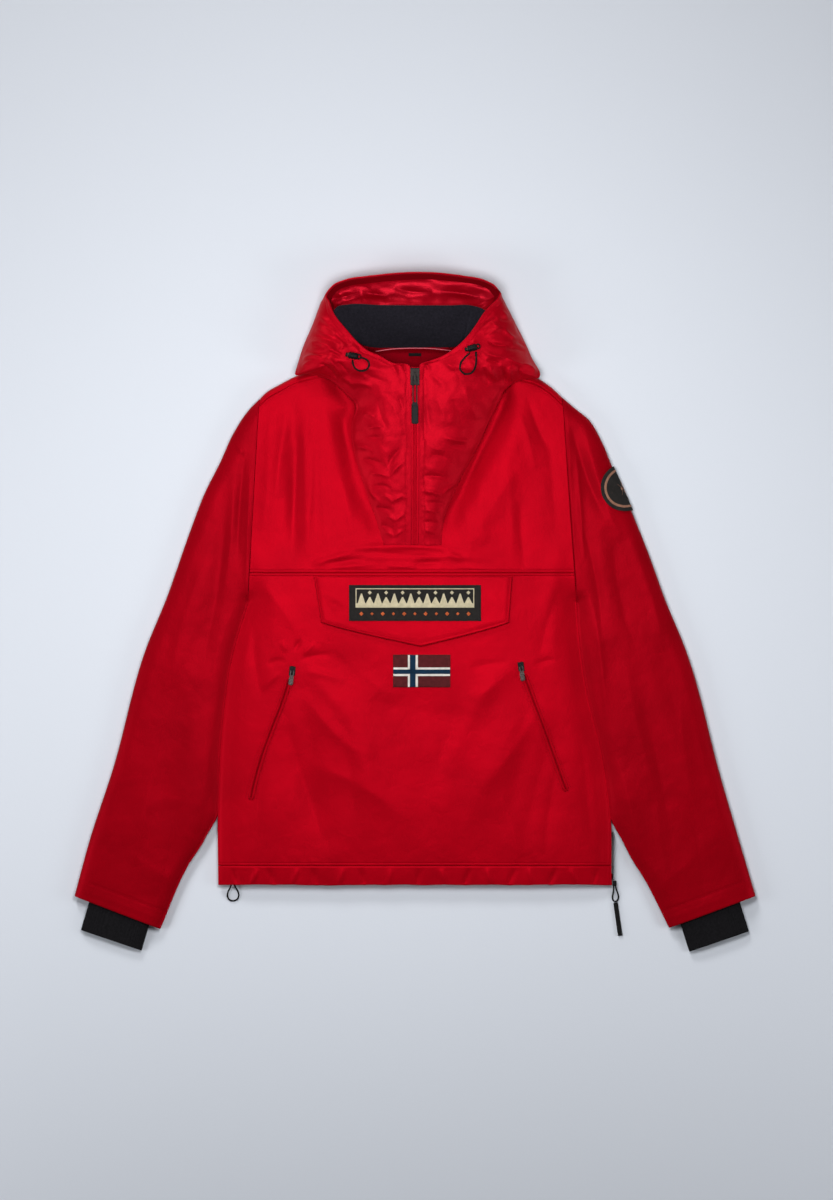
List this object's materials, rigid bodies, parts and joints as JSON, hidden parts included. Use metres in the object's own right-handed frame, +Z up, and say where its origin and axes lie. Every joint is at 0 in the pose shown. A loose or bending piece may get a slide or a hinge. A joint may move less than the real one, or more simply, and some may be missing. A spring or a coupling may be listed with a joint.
{
  "type": "hooded pullover anorak",
  "caption": "Padded pullover anorak laid flat with its front up: hood, half zip in a V-shaped placket, flap pocket, slanted zip pockets and inner knit cuffs.",
  "frame": {"origin": "centre of the laid garment's outline, on the surface it lies on", "axes": "+X to the right of the laid garment seen from above, +Y to the hood, +Z up from the surface"},
  "size_m": [0.9536, 0.9523, 0.0623],
  "materials": {
    "shell": "soft matt padded nylon",
    "lining": "satin",
    "fleece": "napped",
    "knit": "ribbed knit",
    "black_tape": "woven",
    "zip_tape": "woven",
    "black_plastic": "satin",
    "slider_metal": "dark nickel",
    "patch": "woven",
    "flag": "woven"
  },
  "bodies": {
    "garment": {"back_panel": "shell", "collar_band": "fleece", "cord_lock_left": "black_plastic", "cord_lock_right": "black_plastic", "flag_patch": "flag", "front_body": "shell", "front_yoke": "shell", "front_zip": "zip_tape", "front_zip_slider": "slider_metal", "hanger_loop": "black_tape", "hem_band": "shell", "hem_cord": "black_tape", "hood_centre": "shell", "hood_cord_left": "black_tape", "hood_cord_right": "black_tape", "hood_crown": "lining", "hood_left": "shell", "hood_right": "shell", "knit_cuff_left": "knit", "knit_cuff_right": "knit", "label_patch": "patch", "neck_facing": "lining", "pocket_flap": "shell", "pocket_slider_left": "slider_metal", "pocket_slider_right": "slider_metal", "pocket_zip_left": "zip_tape", "pocket_zip_right": "zip_tape", "side_zip": "black_tape", "side_zip_cord": "black_tape", "side_zip_slider": "black_plastic", "side_zip_tab": "black_plastic", "sleeve_badge": "patch", "sleeve_left": "shell", "sleeve_left_under": "shell", "sleeve_right": "shell", "sleeve_right_under": "shell"},
    "front_pull": {"front_zip_pull": "black_plastic"},
    "left_pull": {"pocket_pull_left": "slider_metal"},
    "right_pull": {"pocket_pull_right": "slider_metal"}
  },
  "joints": [
    {"name": "front_pull_hinge", "type": "hinge", "parent": "garment", "child": "front_pull", "pos_m": [0, 0.32719, 0.0536], "axis": [-1, 0, 0], "range_deg": [0, 150]},
    {"name": "left_pull_hinge", "type": "hinge", "parent": "garment", "child": "left_pull", "pos_m": [-0.1717, -0.08345, 0.02162], "axis": [-0.9933, 0.115, -0.0071], "range_deg": [0, 150]},
    {"name": "right_pull_hinge", "type": "hinge", "parent": "garment", "child": "right_pull", "pos_m": [0.14848, -0.07754, 0.02173], "axis": [-0.9919, -0.1261, 0.0158], "range_deg": [0, 150]}
  ]
}
